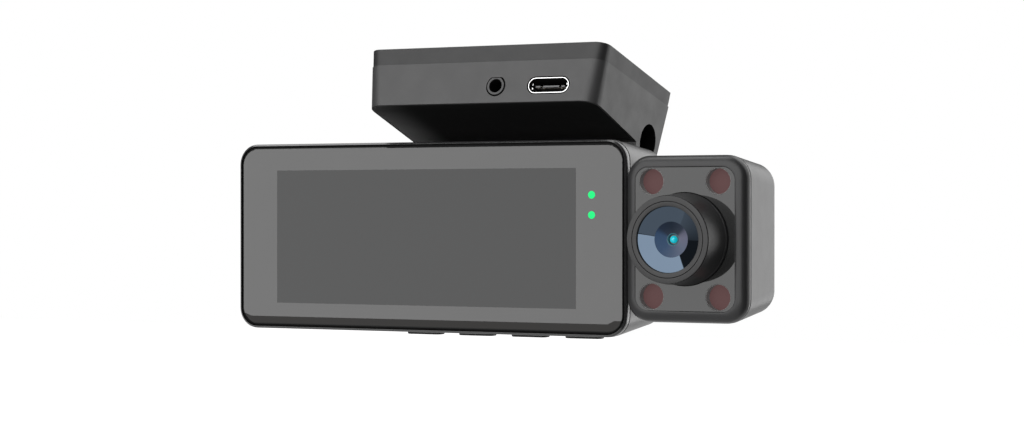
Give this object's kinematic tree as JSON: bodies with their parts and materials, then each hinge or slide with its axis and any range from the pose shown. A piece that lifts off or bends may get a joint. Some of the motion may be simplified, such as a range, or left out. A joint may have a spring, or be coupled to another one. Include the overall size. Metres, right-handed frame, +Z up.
{
  "type": "dash camera",
  "caption": "Wide screen dash camera hung from a windscreen bracket, with a tilting cabin camera pod at its side.",
  "frame": {"origin": "centre of the adhesive pad's upper face, where the bracket is stuck to the windscreen", "axes": "+Z up, +X towards the cabin camera pod, -Y towards the cabin, where the screen faces"},
  "size_m": [0.1144, 0.0452, 0.0585],
  "materials": {
    "foam": "closed-cell foam tape, matt",
    "cover": "fine textured",
    "housing": "fine textured",
    "underpan": "matt black",
    "frame": "satin",
    "tinted_glass": "dark tinted, polished",
    "window": "polished",
    "board": "green solder mask",
    "steel": "plated",
    "alu": "extruded",
    "black_plastic": "satin",
    "keys": "satin silicone",
    "ceramic": "ceramic",
    "lcd": "polarizer film",
    "lens": "coated, polished",
    "red": "dark red resin",
    "green_light": "glowing",
    "lead": "insulated"
  },
  "bodies": {
    "bracket": {"adhesive_pad": "foam", "bracket_cover": "cover", "bracket_housing": "housing", "bracket_underpan": "underpan", "bracket_board": "board", "usb_shell": "steel", "usb_tongue": "black_plastic", "video_jack": "black_plastic", "gps_antenna": "ceramic", "bracket_screws": "steel", "bracket_lead": "lead"},
    "button_one": {"button_1": "keys"},
    "button_two": {"button_2": "keys"},
    "button_three": {"button_3": "keys"},
    "button_four": {"button_4": "keys"},
    "card": {"memory_card": "black_plastic"},
    "pod": {"pivot_tube": "steel", "pivot_clip": "steel", "pod_shell": "housing", "pod_frame": "frame", "pod_window": "window", "ir_led_1": "red", "ir_led_2": "red", "ir_led_3": "red", "ir_led_4": "red", "led_board": "board", "cabin_barrel": "black_plastic", "cabin_front_lens": "lens", "cabin_baffle": "black_plastic", "cabin_sensor_board": "board", "pod_lead": "lead"},
    "screen_body": {"screen_glass": "tinted_glass", "front_frame": "frame", "rear_shell": "housing", "lcd_panel": "lcd", "mid_frame": "steel", "status_light_1": "green_light", "status_light_2": "green_light", "main_board": "board", "processor": "black_plastic", "heat_spreader": "alu", "supercapacitors": "black_plastic", "speaker": "black_plastic", "microphone": "steel", "card_socket": "steel", "key_board": "board", "key_switches": "steel", "body_screws": "steel", "hinge_pin_left": "steel", "hinge_pin_right": "steel", "hinge_washers": "steel", "body_lead": "lead", "road_bezel": "frame", "road_barrel": "black_plastic", "road_front_lens": "lens", "road_inner_lens": "lens", "road_holder": "black_plastic", "road_sensor_board": "board", "pivot_bush": "black_plastic", "pivot_washer": "steel"}
  },
  "joints": [
    {"name": "body_tilt", "type": "hinge", "parent": "bracket", "child": "screen_body", "pos_m": [0, 0.0065, -0.0156], "axis": [1, 0, 0], "range_deg": [-12, 50]},
    {"name": "pod_tilt", "type": "hinge", "parent": "screen_body", "child": "pod", "pos_m": [0.03245, -0.0097, -0.03495], "axis": [1, 0, 0], "range_deg": [-40, 40]},
    {"name": "button_one_press", "type": "slide", "parent": "screen_body", "child": "button_one", "axis": [0, 0, 1], "range_m": [0, 0.00035], "stiffness_N_per_m": 400},
    {"name": "button_two_press", "type": "slide", "parent": "screen_body", "child": "button_two", "axis": [0, 0, 1], "range_m": [0, 0.00035], "stiffness_N_per_m": 400},
    {"name": "button_three_press", "type": "slide", "parent": "screen_body", "child": "button_three", "axis": [0, 0, 1], "range_m": [0, 0.00035], "stiffness_N_per_m": 400},
    {"name": "button_four_press", "type": "slide", "parent": "screen_body", "child": "button_four", "axis": [0, 0, 1], "range_m": [0, 0.00035], "stiffness_N_per_m": 400},
    {"name": "card_eject", "type": "slide", "parent": "screen_body", "child": "card", "axis": [-1, 0, 0], "range_m": [0, 0.014]}
  ]
}
